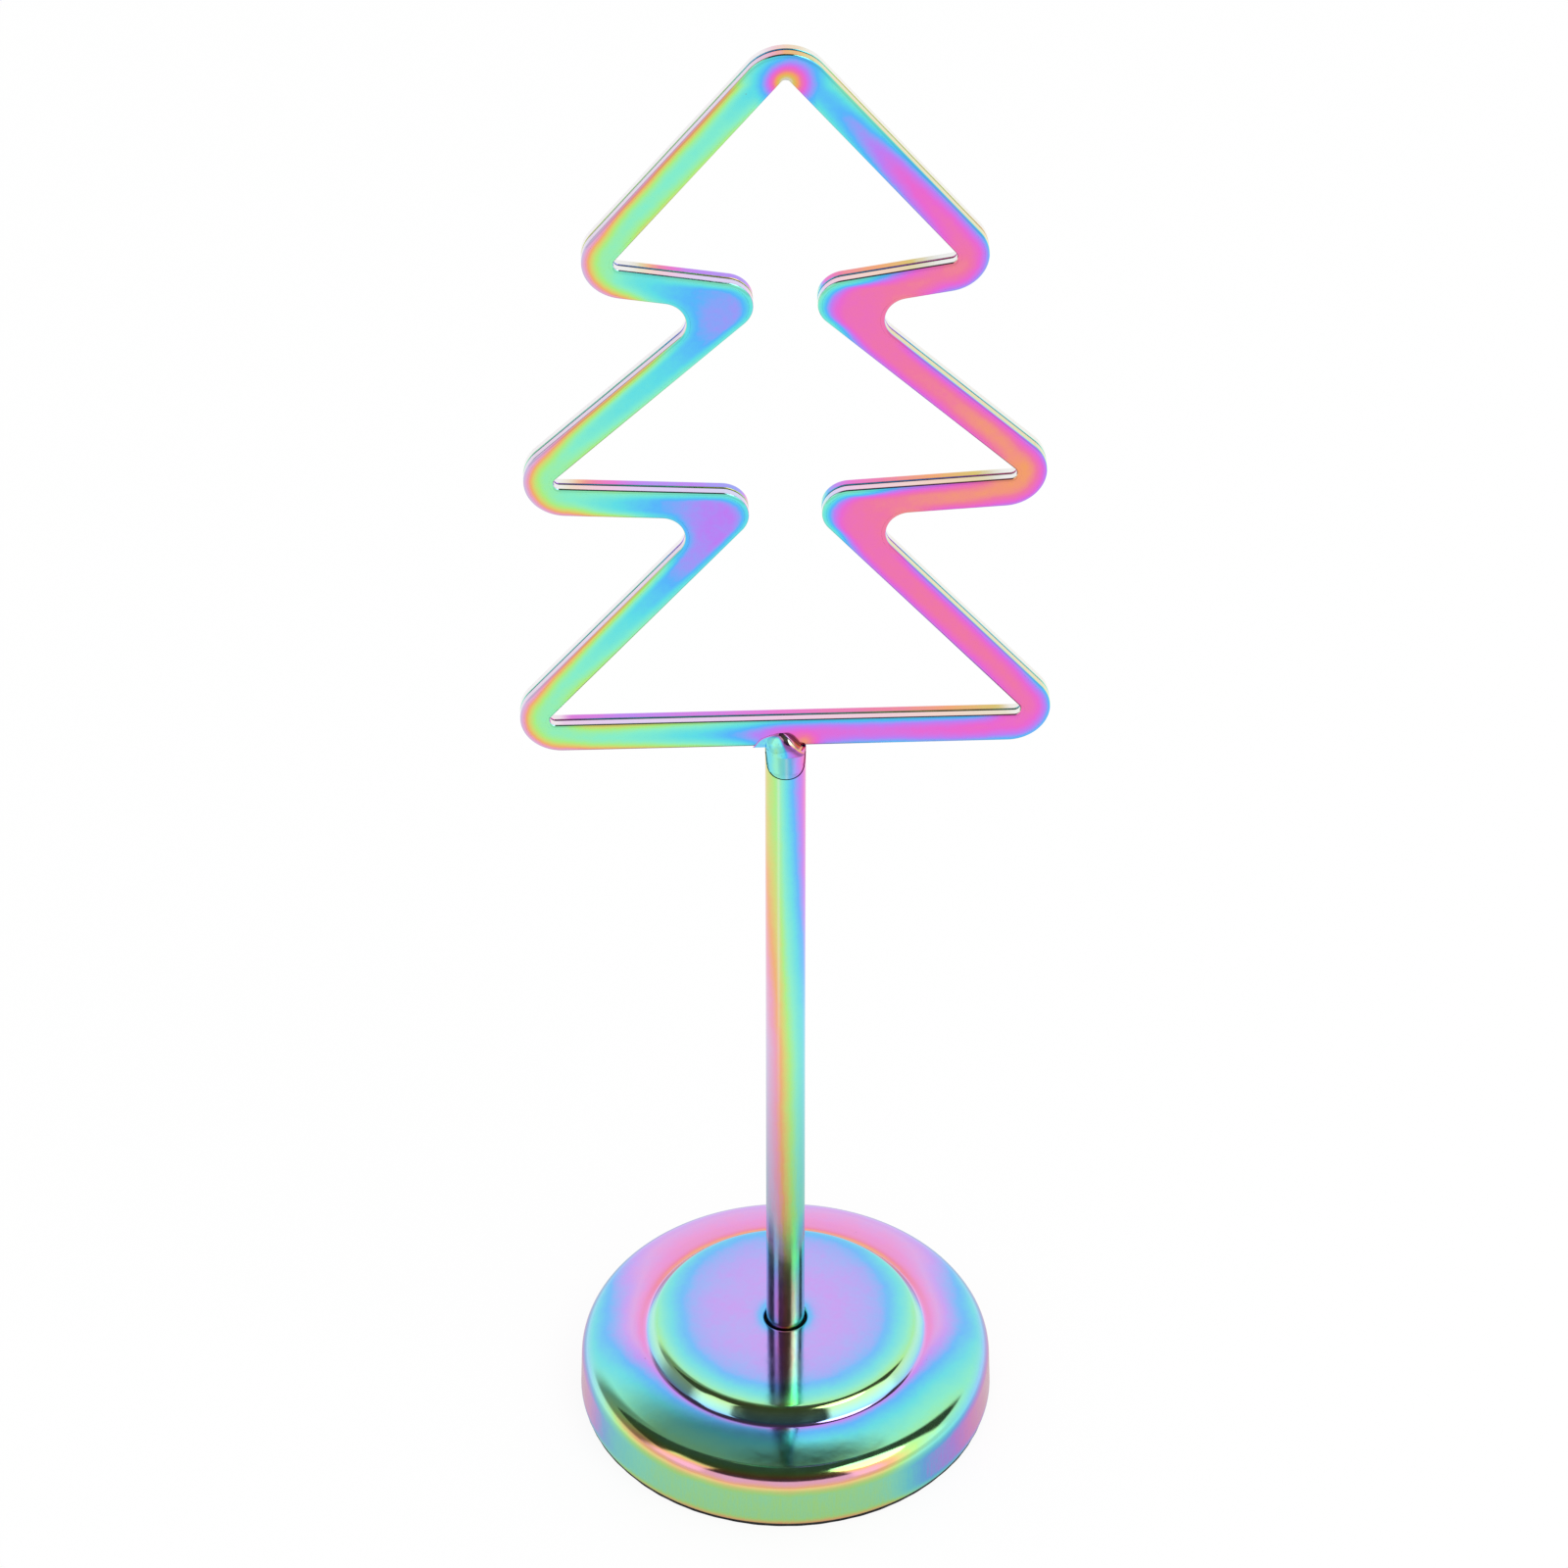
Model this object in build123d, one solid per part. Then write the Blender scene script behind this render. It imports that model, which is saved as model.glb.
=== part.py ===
from build123d import *
import os
from math import cos, radians, sin, tan

# Photo tree stand: two tree outlines of plated steel, face to face, hold a card between them.
# They stand on a round stem that is screwed into a weighted, stamped base.
# Millimetres. Z is up, the origin is the centre of the base's underside, and -Y is the front.

# Clearances and the overrun of every cut
cut_overrun = 2.0
running_clearance = 0.05
flex_clearance = 0.10
press_clearance = 0.03

# Base cover, a stamped steel cap
base_diameter = 54.0
skirt_draft_angle = 2.0
shoulder_height = 7.4
shoulder_radius = 3.1
flange_angle = 12.5
riser_foot_diameter = 36.8
riser_foot_radius = 1.2
riser_run = 1.5
riser_rise = 1.7
plateau_edge_radius = 1.5
plateau_crown = 0.35
cover_thickness = 0.8
stem_hole_clearance = 0.28
stem_hole_edge_radius = 0.35

# Pad under the base
pad_inset = 0.2
pad_thickness = 0.6
pad_edge_radius = 0.15

# Ballast weight inside the cover
weight_thickness = 4.9
weight_chamfer = 1.3
weight_boss_diameter = 18.0
weight_boss_chamfer = 0.5
boss_headroom = 0.3
socket_web_thickness = 1.62
counterbore_clearance = 0.7

# Stem
stem_diameter = 5.0
stem_end_chamfer = 0.4
bevel_angle = 52.4
stem_tap_depth = 7.0

# Screw and washers under the weight
screw_diameter = 3.0
screw_length = 8.0
screw_hole_clearance = 0.2
screw_head_sink = 0.45
screw_head_diameter = 5.6
screw_head_height = 2.2
screw_head_radius = 0.6
screw_recess_width = 0.9
screw_recess_length = 2.8
screw_recess_depth = 1.1
spring_washer_outer_diameter = 6.2
spring_washer_clearance = 0.05
spring_washer_thickness = 0.8
spring_washer_split = 0.5
flat_washer_outer_diameter = 7.0
flat_washer_clearance = 0.1
flat_washer_thickness = 0.5

# Tree plates: rises are above the middle of the bottom bar, drops are below the tip above the notch,
# and half widths are from the stem's axis
tree_foot_height = 108.0
bar_width = 3.98
apex_rise = 97.8
top_tip_half_width = 24.15
top_tip_rise = 67.7
top_notch_half_width = 4.15
top_notch_drop = 3.45
middle_tip_half_width = 33.05
middle_tip_rise = 36.1
low_notch_half_width = 4.83
low_notch_drop = 1.7
low_tip_half_width = 33.8
plate_thickness = 1.1
card_gap = 0.2
plate_edge_radius = 0.28
outer_apex_radius = 5.4
inner_apex_radius = 0.6
outer_tip_radius = 5.1
inner_tip_radius = 0.8
outer_notch_radius = 2.9
inner_notch_radius = 3.4

# Welds between the stem and the plates
front_weld_leg = 2.7
front_weld_crest = 2.1
front_weld_width = 6.1
rear_weld_radius = 0.55
rear_weld_length = 3.6
rear_weld_end_share = 0.8

# Places that follow from the sizes above
base_radius = base_diameter / 2
stem_radius = stem_diameter / 2
skirt_bottom = pad_thickness
skirt_lean = tan(radians(skirt_draft_angle))
flange_slope = tan(radians(flange_angle))
shoulder_z = skirt_bottom + shoulder_height
riser_foot_x = riser_foot_diameter / 2
shoulder_x = base_radius - shoulder_height * skirt_lean
riser_foot_z = shoulder_z + (shoulder_x - riser_foot_x) * flange_slope
plateau_x = riser_foot_x - riser_run
plateau_z = riser_foot_z + riser_rise
crown_z = plateau_z + plateau_crown

weight_bottom = skirt_bottom
weight_top = weight_bottom + weight_thickness
boss_top = plateau_z - cover_thickness - boss_headroom
screw_head_bottom = weight_bottom + screw_head_sink
spring_washer_bottom = screw_head_bottom + screw_head_height
flat_washer_bottom = spring_washer_bottom + spring_washer_thickness + running_clearance
counterbore_top = flat_washer_bottom + flat_washer_thickness
socket_floor = counterbore_top + socket_web_thickness
stem_bottom = socket_floor + running_clearance

front_plate_y = 0.0
card_gap_y = front_plate_y + plate_thickness
back_plate_y = card_gap_y + card_gap
plates_back_y = back_plate_y + plate_thickness
bottom_bar_z = tree_foot_height + bar_width / 2


def upright(shape, front_y=0.0):
    """Turn a flat XY drawing to the XZ plane, at the given distance behind the stem's axis."""
    return Pos(0, front_y, 0) * Rot(90, 0, 0) * shape


def ring(outer_diameter, inner_diameter, bottom, height):
    """A flat ring or, with no inner diameter, a disc."""
    body = Pos(0, 0, bottom + height / 2) * Cylinder(outer_diameter / 2, height)
    if inner_diameter > 0:
        bore_height = height + 2 * cut_overrun
        body -= Pos(0, 0, bottom + height / 2) * Cylinder(inner_diameter / 2, bore_height)
    return body


def cover_section(bottom):
    """Half section of the cap's outside as a filled face that ends at the given height."""
    skirt_point = (shoulder_x + (shoulder_z - bottom) * skirt_lean, bottom)
    crown_point = (0, crown_z)
    plateau_point = (plateau_x, plateau_z)
    foot_point = (riser_foot_x, riser_foot_z)
    shoulder_point = (shoulder_x, shoulder_z)
    dome_radius = (plateau_x ** 2 + plateau_crown ** 2) / (2 * plateau_crown)
    outline = RadiusArc(crown_point, plateau_point, dome_radius)
    outline += Polyline(plateau_point, foot_point, shoulder_point, skirt_point, (0, bottom), crown_point)
    section = make_face(outline)
    for point, radius in (
        (plateau_point, plateau_edge_radius),
        (foot_point, riser_foot_radius),
        (shoulder_point, shoulder_radius),
    ):
        corner = section.vertices().sort_by_distance(Vector(*point))[0]
        section = fillet(corner, radius)
    return section


def make_base_cover():
    """The stamped cap: skirt, rounded shoulder, sloping flange, riser and a shallow domed plateau."""
    hole_radius = stem_radius + stem_hole_clearance
    section = cover_section(skirt_bottom)
    section -= offset(cover_section(skirt_bottom - cut_overrun), -cover_thickness)
    hole_height = crown_z + 2 * cut_overrun
    section -= Pos(hole_radius - base_radius / 2, hole_height / 2) * Rectangle(base_radius, hole_height)
    hole_edge = section.vertices().sort_by_distance(Vector(hole_radius, crown_z))[0]
    section = fillet(hole_edge, stem_hole_edge_radius)
    return revolve(Rot(90, 0, 0) * section, axis=Axis.Z)


def make_base_weight():
    """Cast ballast: a disc pressed into the skirt, with a boss that holds the stem's lower end."""
    rim_z = weight_top - weight_chamfer
    outer_skirt_x = shoulder_x + (shoulder_z - rim_z) * skirt_lean
    inner_skirt_x = outer_skirt_x - cover_thickness / cos(radians(skirt_draft_angle))
    weight_diameter = 2 * (inner_skirt_x - press_clearance)
    disc = ring(weight_diameter, 0, weight_bottom, weight_thickness)
    disc = chamfer(disc.edges().sort_by(Axis.Z)[-1], weight_chamfer)
    boss = ring(weight_boss_diameter, 0, weight_bottom, boss_top - weight_bottom)
    boss = chamfer(boss.edges().sort_by(Axis.Z)[-1], weight_boss_chamfer)
    weight = disc + boss
    socket_diameter = stem_diameter + 2 * running_clearance
    screw_hole_diameter = screw_diameter + 2 * screw_hole_clearance
    counterbore_diameter = flat_washer_outer_diameter + 2 * counterbore_clearance
    counterbore_bottom = weight_bottom - cut_overrun
    weight -= ring(socket_diameter, 0, socket_floor, boss_top - socket_floor + cut_overrun)
    weight -= ring(screw_hole_diameter, 0, weight_bottom, boss_top - weight_bottom)
    weight -= ring(counterbore_diameter, 0, counterbore_bottom, counterbore_top - counterbore_bottom)
    return weight


def make_base_pad():
    """The thin black pad that the stand rests on."""
    pad = ring(base_diameter - 2 * pad_inset, 0, 0, pad_thickness)
    return fillet(pad.edges().sort_by(Axis.Z)[0], pad_edge_radius)


def make_stem():
    """The round stem: tapped lower end, flat seat for the plates and a bevel in front of them."""
    stem = ring(stem_diameter, 0, stem_bottom, tree_foot_height - stem_bottom)
    stem = chamfer(stem.edges().sort_by(Axis.Z)[0], stem_end_chamfer)
    stem -= ring(screw_diameter, 0, stem_bottom - cut_overrun, stem_tap_depth + cut_overrun)
    seat_z = tree_foot_height - flex_clearance
    relief_back_y = back_plate_y - card_gap / 2
    relief_depth = stem_radius + cut_overrun + relief_back_y
    relief_height = flex_clearance + cut_overrun
    relief = Box(stem_diameter + cut_overrun, relief_depth, relief_height)
    stem -= Pos(0, relief_back_y - relief_depth / 2, seat_z + relief_height / 2) * relief
    return stem - above_bevel(seat_z)


def bevel_end():
    """Where the sloping plane of the bevel ends, well in front of the stem: its depth and its drop."""
    front_y = front_plate_y - stem_diameter - cut_overrun
    return front_y, (front_plate_y - front_y) * tan(radians(bevel_angle))


def above_bevel(seat_z):
    """All in front of the plates that lies above the bevel's sloping plane."""
    front_y, drop = bevel_end()
    top_z = seat_z + cut_overrun
    corners = [(front_plate_y, seat_z), (front_plate_y, top_z), (front_y, top_z), (front_y, seat_z - drop)]
    return side_prism(make_face(Polyline(*corners, close=True)), 2 * front_weld_width)


def below_bevel(seat_z):
    """All in front of the plates that lies below the bevel's sloping plane."""
    front_y, drop = bevel_end()
    low_z = seat_z - drop - cut_overrun
    corners = [(front_plate_y, seat_z), (front_y, seat_z - drop), (front_y, low_z), (front_plate_y, low_z)]
    return side_prism(make_face(Polyline(*corners, close=True)), 2 * front_weld_width)


def side_prism(section, width):
    """Extrude a section drawn with X as depth and Y as height, evenly to both sides of the middle."""
    left_plane = Plane(origin=(-width / 2, 0, 0), x_dir=(0, 1, 0), z_dir=(1, 0, 0))
    return extrude(left_plane * section, amount=width)


def tree_corners():
    """Corners of the tree along the middle of its bar, clockwise from the apex, with their kinds."""
    right_side = [
        ("tip", top_tip_half_width, top_tip_rise),
        ("notch", top_notch_half_width, top_tip_rise - top_notch_drop),
        ("tip", middle_tip_half_width, middle_tip_rise),
        ("notch", low_notch_half_width, middle_tip_rise - low_notch_drop),
        ("tip", low_tip_half_width, 0),
    ]
    corners = [("apex", 0, bottom_bar_z + apex_rise)]
    corners += [(kind, x, bottom_bar_z + rise) for kind, x, rise in right_side]
    corners += [(kind, -x, bottom_bar_z + rise) for kind, x, rise in reversed(right_side)]
    return corners


def shifted(points, shift):
    """Corners of a clockwise outline after each of its sides has moved outwards by the shift."""
    moved = []
    for before, here, after in zip(points[-1:] + points[:-1], points, points[1:] + points[:1]):
        arriving = (here - before).normalized()
        leaving = (after - here).normalized()
        out_first = Vector(-arriving.Y, arriving.X)
        out_second = Vector(-leaving.Y, leaving.X)
        moved.append(here + (out_first + out_second) * (shift / (1 + out_first.dot(out_second))))
    return moved


def tree_face(shift, radii):
    """The tree's outline, moved outwards from the middle of the bar and rounded at every corner."""
    corners = tree_corners()
    places = shifted([Vector(x, z) for kind, x, z in corners], shift)
    face = make_face(Polyline(*places, close=True))
    for kind, radius in radii.items():
        alike = [place for corner, place in zip(corners, places) if corner[0] == kind]
        chosen = [face.vertices().sort_by_distance(place)[0] for place in alike]
        face = fillet(chosen, radius)
    return face


def make_tree_plate(front_y):
    """One stamped plate: the bar that runs round the tree's outline, with softly rounded edges."""
    outside = tree_face(
        bar_width / 2,
        {"apex": outer_apex_radius, "tip": outer_tip_radius, "notch": outer_notch_radius},
    )
    inside = tree_face(
        -bar_width / 2,
        {"apex": inner_apex_radius, "tip": inner_tip_radius, "notch": inner_notch_radius},
    )
    plate = extrude(upright(outside - inside, front_y), dir=(0, 1, 0), amount=plate_thickness)
    by_depth = plate.edges().group_by(Axis.Y)
    return fillet(by_depth[0] + by_depth[-1], plate_edge_radius)


def make_front_weld():
    """The hollow-faced weld in front: it joins the stem's bevel to the plates' lower edge."""
    slope = radians(bevel_angle)
    face_y = front_plate_y - flex_clearance
    root_z = tree_foot_height - flex_clearance - flex_clearance * tan(slope)
    half_width = front_weld_width / 2
    arch_radius = (half_width ** 2 + front_weld_crest ** 2) / (2 * front_weld_crest)
    arch_z = tree_foot_height + front_weld_crest - arch_radius
    depth = front_weld_leg * cos(slope)
    weld = Pos(0, face_y - depth / 2, arch_z) * Rot(90, 0, 0) * Cylinder(arch_radius, depth)
    hollow_radius = front_weld_leg / tan((radians(90) - slope) / 2)
    hollow = Rot(0, 90, 0) * Cylinder(hollow_radius, 2 * front_weld_width)
    weld -= Pos(0, face_y - hollow_radius, root_z + front_weld_leg) * hollow
    return weld - below_bevel(tree_foot_height - flex_clearance)


def make_rear_weld(stem, back_plate):
    """The small ridge of weld behind, along the seam between the stem and the back plate."""
    seam = Pos(0, plates_back_y, tree_foot_height)
    ridge = seam * Rot(0, 90, 0) * Cylinder(rear_weld_radius, rear_weld_length)
    rounded = fillet(ridge.edges().filter_by(GeomType.CIRCLE), rear_weld_radius * rear_weld_end_share)
    front_limit = Pos(0, back_plate_y + plate_thickness / 2, tree_foot_height)
    room = Box(2 * stem_diameter, 2 * stem_diameter, stem_diameter)
    behind = front_limit * Pos(0, stem_diameter, 0) * room
    return (rounded & behind) - stem - back_plate


def make_stem_screw():
    """Pan head screw that pulls the stem down into the weight."""
    shank = ring(screw_diameter, 0, spring_washer_bottom, screw_length)
    head = ring(screw_head_diameter, 0, screw_head_bottom, screw_head_height)
    head = fillet(head.edges().sort_by(Axis.Z)[0], screw_head_radius)
    recess_z = screw_head_bottom + screw_recess_depth / 2 - cut_overrun / 2
    recess_height = screw_recess_depth + cut_overrun
    for turn in (0, 90):
        slot = Box(screw_recess_length, screw_recess_width, recess_height)
        head -= Pos(0, 0, recess_z) * Rot(0, 0, turn) * slot
    return shank + head


def make_spring_washer():
    """Split washer under the screw's head, pressed flat."""
    inner_diameter = screw_diameter + 2 * spring_washer_clearance
    washer = ring(spring_washer_outer_diameter, inner_diameter, spring_washer_bottom, spring_washer_thickness)
    split_height = spring_washer_thickness + cut_overrun
    split = Box(spring_washer_outer_diameter, spring_washer_split, split_height)
    middle_z = spring_washer_bottom + spring_washer_thickness / 2
    return washer - Pos(spring_washer_outer_diameter / 2, 0, middle_z) * split


def make_flat_washer():
    """Flat washer against the weight."""
    inner_diameter = screw_diameter + 2 * flat_washer_clearance
    return ring(flat_washer_outer_diameter, inner_diameter, flat_washer_bottom, flat_washer_thickness)


def build():
    """Every piece of the stand, by name."""
    stem = make_stem()
    front_plate = make_tree_plate(front_plate_y)
    back_plate = make_tree_plate(back_plate_y)
    return {
        "base_cover": make_base_cover(),
        "base_weight": make_base_weight(),
        "base_pad": make_base_pad(),
        "stem": stem,
        "front_tree_plate": front_plate,
        "back_tree_plate": back_plate,
        "front_weld": make_front_weld(),
        "rear_weld": make_rear_weld(stem, back_plate),
        "stem_screw": make_stem_screw(),
        "spring_washer": make_spring_washer(),
        "flat_washer": make_flat_washer(),
    }


os.makedirs("parts", exist_ok=True)
for name, piece in build().items():
    export_step(piece, f"parts/{name}.step")
    print(name, round(piece.volume, 2), "mm3")
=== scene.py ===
import math

import bmesh
import bpy
import numpy as np
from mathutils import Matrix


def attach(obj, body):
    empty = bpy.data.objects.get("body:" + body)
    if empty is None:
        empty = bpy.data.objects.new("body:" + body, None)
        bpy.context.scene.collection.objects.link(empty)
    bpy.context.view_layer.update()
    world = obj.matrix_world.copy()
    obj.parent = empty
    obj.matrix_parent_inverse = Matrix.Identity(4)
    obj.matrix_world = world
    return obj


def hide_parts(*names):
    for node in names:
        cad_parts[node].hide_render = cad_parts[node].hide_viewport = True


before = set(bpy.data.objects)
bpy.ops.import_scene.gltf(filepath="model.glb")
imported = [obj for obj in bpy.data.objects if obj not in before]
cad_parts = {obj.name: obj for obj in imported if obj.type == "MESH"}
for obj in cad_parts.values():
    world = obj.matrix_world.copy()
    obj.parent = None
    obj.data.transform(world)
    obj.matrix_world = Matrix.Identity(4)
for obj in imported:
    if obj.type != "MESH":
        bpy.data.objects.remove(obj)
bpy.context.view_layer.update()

# Sizes in millimetres, the same as those of the solids
MM = 0.001
BASE_DIAMETER = 54.0
SKIRT_DRAFT = math.radians(2.0)
SHOULDER_HEIGHT = 7.4
SHOULDER_RADIUS = 3.1
FLANGE_ANGLE = math.radians(12.5)
RISER_FOOT_X = 18.4
RISER_FOOT_RADIUS = 1.2
RISER_RUN = 1.5
RISER_RISE = 1.7
PLATEAU_EDGE_RADIUS = 1.5
PLATEAU_CROWN = 0.35
FLANGE_BOW = 0.12
SHEET = 0.8
STEM_RADIUS = 2.5
STEM_FOOT_Z = 6.27
STEM_HOLE_CLEARANCE = 0.28
STEM_HOLE_EDGE = 0.35
PAD_INSET = 0.2
PAD_THICKNESS = 0.6
PAD_EDGE = 0.15
STEM_CHAMFER = 0.4
TAP_RADIUS = 1.5
TAP_DEPTH = 7.0
FLEX_CLEARANCE = 0.1
TREE_FOOT_Z = 108.0
BAR_WIDTH = 3.98
APEX_RISE = 97.8
TOP_TIP = (24.15, 67.7)
TOP_NOTCH = (4.15, 64.25)
MIDDLE_TIP = (33.05, 36.1)
LOW_NOTCH = (4.83, 34.4)
LOW_TIP = (33.8, 0.0)
PLATE_THICKNESS = 1.1
CARD_GAP = 0.2
EDGE_RUN, EDGE_DROP = 0.5, 0.28
GAP_EDGE_RUN, GAP_EDGE_DROP = 0.12, 0.1
OUTLINE_INSET = 0.004
TIP_CORNER = 5.8
OUTER_RADII = {"apex": 5.4, "tip": 5.1, "notch": 2.9}
INNER_RADII = {"apex": 0.6, "tip": 0.8, "notch": 3.4}

SHOULDER_Z = PAD_THICKNESS + SHOULDER_HEIGHT
SHOULDER_X = BASE_DIAMETER / 2 - SHOULDER_HEIGHT * math.tan(SKIRT_DRAFT)
RISER_FOOT_Z = SHOULDER_Z + (SHOULDER_X - RISER_FOOT_X) * math.tan(FLANGE_ANGLE)
PLATEAU_X = RISER_FOOT_X - RISER_RUN
PLATEAU_Z = RISER_FOOT_Z + RISER_RISE
CROWN_Z = PLATEAU_Z + PLATEAU_CROWN
SEAT_Z = TREE_FOOT_Z - FLEX_CLEARANCE
BAR_MIDDLE_Z = TREE_FOOT_Z + BAR_WIDTH / 2

# Thickness of the film from 0 to FILM_END against the colour that it gives, as display values
FILM_END = 1.25
FILM_COLOURS = [
    (0.00, 212, 218, 214),
    (0.08, 218, 194, 96),
    (0.16, 244, 162, 102),
    (0.24, 240, 120, 165),
    (0.32, 234, 105, 210),
    (0.40, 188, 128, 245),
    (0.48, 88, 182, 252),
    (0.56, 96, 222, 230),
    (0.66, 134, 238, 202),
    (0.75, 172, 238, 132),
    (0.82, 218, 212, 112),
    (0.88, 242, 172, 112),
    (0.94, 238, 160, 188),
    (1.02, 214, 184, 222),
    (1.12, 150, 200, 225),
    (1.25, 170, 225, 190),
]

# What each point of a plated piece carries for its material
LOOKS = ("film", "pale_and_highlight", "painted_shade", "wear", "grain")


def linear(value):
    """A display value from 0 to 255 as linear light."""
    share = value / 255
    return share / 12.92 if share <= 0.04045 else ((share + 0.055) / 1.055) ** 2.4


def colour(red, green, blue):
    return (linear(red), linear(green), linear(blue), 1.0)


def smooth(x, low, high):
    """0 below low, 1 above high, with a smooth rise between them."""
    share = np.clip((x - low) / (high - low), 0, 1)
    return share * share * (3 - 2 * share)


def stops(x, pairs):
    """A smooth curve through given (place, value) pairs."""
    places = np.array([p for p, v in pairs], float)
    values = np.array([v for p, v in pairs], float)
    x = np.clip(x, places[0], places[-1])
    index = np.clip(np.searchsorted(places, x) - 1, 0, len(places) - 2)
    slopes = np.gradient(values, places)
    width = places[index + 1] - places[index]
    share = (x - places[index]) / width
    start, end = values[index], values[index + 1]
    rise_start, rise_end = slopes[index] * width, slopes[index + 1] * width
    cube, square = share ** 3, share ** 2
    curve = (2 * cube - 3 * square + 1) * start + (cube - 2 * square + share) * rise_start
    curve += (3 * square - 2 * cube) * end + (cube - square) * rise_end
    return curve


# Node helpers
def new_material(name):
    """A material with its node tree, its shader and each point's place on the object."""
    material = bpy.data.materials.new(name)
    material.use_nodes = True
    tree = material.node_tree
    place = node(tree, "ShaderNodeTexCoord").outputs["Object"]
    return material, tree, tree.nodes["Principled BSDF"], place


def node(tree, kind, inputs=None, **settings):
    made = tree.nodes.new(kind)
    for key, value in settings.items():
        setattr(made, key, value)
    for key, value in (inputs or {}).items():
        if isinstance(value, bpy.types.NodeSocket):
            tree.links.new(value, made.inputs[key])
        else:
            made.inputs[key].default_value = value
    return made


def maths(tree, operation, first, *others, clamp=False):
    """One operation over two or more values, from left to right."""
    for other in others:
        made = node(tree, "ShaderNodeMath", {0: first, 1: other}, operation=operation, use_clamp=clamp)
        first = made.outputs[0]
    return first


def product(tree, *values):
    return maths(tree, "MULTIPLY", *values)


def noise(tree, place, scale, detail, roughness=0.5):
    inputs = {"Vector": place, "Scale": scale, "Detail": detail, "Roughness": roughness}
    return node(tree, "ShaderNodeTexNoise", inputs).outputs["Fac"]


def mapped(tree, value, low, high, out_low, out_high):
    made = node(
        tree,
        "ShaderNodeMapRange",
        {"Value": value, "From Min": low, "From Max": high, "To Min": out_low, "To Max": out_high},
        interpolation_type="SMOOTHSTEP",
    )
    return made.outputs["Result"]


def ramp(tree, value, colours, end):
    made = node(tree, "ShaderNodeValToRGB", {"Fac": value})
    elements = made.color_ramp.elements
    while len(elements) > 1:
        elements.remove(elements[-1])
    for index, (place, red, green, blue) in enumerate(colours):
        element = elements[0] if index == 0 else elements.new(place / end)
        element.position = place / end
        element.color = colour(red, green, blue)
    return made.outputs["Color"]


def mixed(tree, share, first, second):
    return node(tree, "ShaderNodeMix", {0: share, 6: first, 7: second}, data_type="RGBA").outputs[2]


def dress(tree, shader, tint, rough, metallic, height, strength, depth):
    """Give a shader its colour, roughness, metal and bump, whose depth is in metres."""
    bump = node(tree, "ShaderNodeBump", {"Height": height, "Strength": strength, "Distance": depth})
    tree.links.new(tint, shader.inputs["Base Color"])
    tree.links.new(rough, shader.inputs["Roughness"])
    tree.links.new(bump.outputs["Normal"], shader.inputs["Normal"])
    shader.inputs["Metallic"].default_value = metallic


def film_material():
    """Polished steel under a thin plated film: its colour follows the film, paled by painted highlights and
    darkened by painted shade, with small flaws.
    """
    material, tree, shader, place = new_material("rainbow_plated_steel")
    film, pale_and_highlight, painted_shade, wear, grain = (
        node(tree, "ShaderNodeAttribute", attribute_name=name).outputs["Fac"] for name in LOOKS
    )
    # The film varies a little everywhere, is broken where worn and brushed where grained
    drift = mapped(tree, noise(tree, place, 260.0, 3.0), 0.25, 0.75, -0.010, 0.010)
    fine = mapped(tree, noise(tree, place, 1500.0, 2.0), 0.2, 0.8, -0.006, 0.006)
    broken = mapped(tree, noise(tree, place, 1900.0, 4.0, 0.7), 0.25, 0.75, -0.09, 0.09)
    broken = product(tree, broken, wear)
    # Grain runs up and down
    along = node(tree, "ShaderNodeMapping", {"Vector": place, "Scale": (1.0, 1.0, 0.09)}).outputs[0]
    streaks = noise(tree, along, 4200.0, 3.0, 0.6)
    brushed = mapped(tree, streaks, 0.25, 0.75, -0.02, 0.02)
    brushed = product(tree, brushed, grain)
    total = maths(tree, "ADD", film, drift, fine, broken, brushed)
    tint = ramp(tree, maths(tree, "DIVIDE", total, FILM_END), FILM_COLOURS, FILM_END)
    # Paler towards white: partly the film's own paler colour, partly painted highlights
    tint = mixed(tree, pale_and_highlight, tint, colour(246, 245, 244))
    # Scattered specks, with pits and painted shade on top
    cells = node(tree, "ShaderNodeTexVoronoi", {"Vector": place, "Scale": 330.0})
    speck = mapped(tree, cells.outputs["Distance"], 0.02, 0.05, 1.0, 0.0)
    chosen = mapped(tree, noise(tree, place, 90.0, 1.0), 0.60, 0.64, 0.0, 1.0)
    speck = product(tree, speck, chosen)
    tint = mixed(tree, product(tree, speck, 0.55), tint, colour(120, 96, 70))
    pits = mapped(tree, noise(tree, place, 4200.0, 2.0), 0.62, 0.72, 0.0, 1.0)
    pits = product(tree, pits, wear, 0.5)
    # Darker where painted shade and pits lie
    tint = mixed(tree, maths(tree, "ADD", painted_shade, pits, clamp=True), tint, colour(72, 66, 66))
    rough = mapped(tree, noise(tree, place, 420.0, 4.0, 0.6), 0.3, 0.75, 0.07, 0.13)
    rough = maths(tree, "ADD", rough, product(tree, grain, 0.12), product(tree, wear, 0.08))
    height = maths(tree, "SUBTRACT", noise(tree, place, 900.0, 3.0), product(tree, speck, 1.5))
    height = maths(tree, "ADD", height, product(tree, streaks, grain, 2.0))
    dress(tree, shader, tint, rough, 1.0, height, 0.03, 0.0001)
    return material


def iron_material():
    """Grey cast iron with a rough skin."""
    material, tree, shader, place = new_material("cast_iron")
    patches = noise(tree, place, 240.0, 4.0, 0.65)
    tint = ramp(tree, patches, [(0.3, 62, 60, 60), (0.55, 84, 82, 82), (0.75, 104, 98, 92)], 1.0)
    rough = mapped(tree, patches, 0.2, 0.8, 0.55, 0.8)
    grain = noise(tree, place, 2600.0, 3.0, 0.6)
    dress(tree, shader, tint, rough, 0.85, grain, 0.5, 0.0002)
    return material


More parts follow.
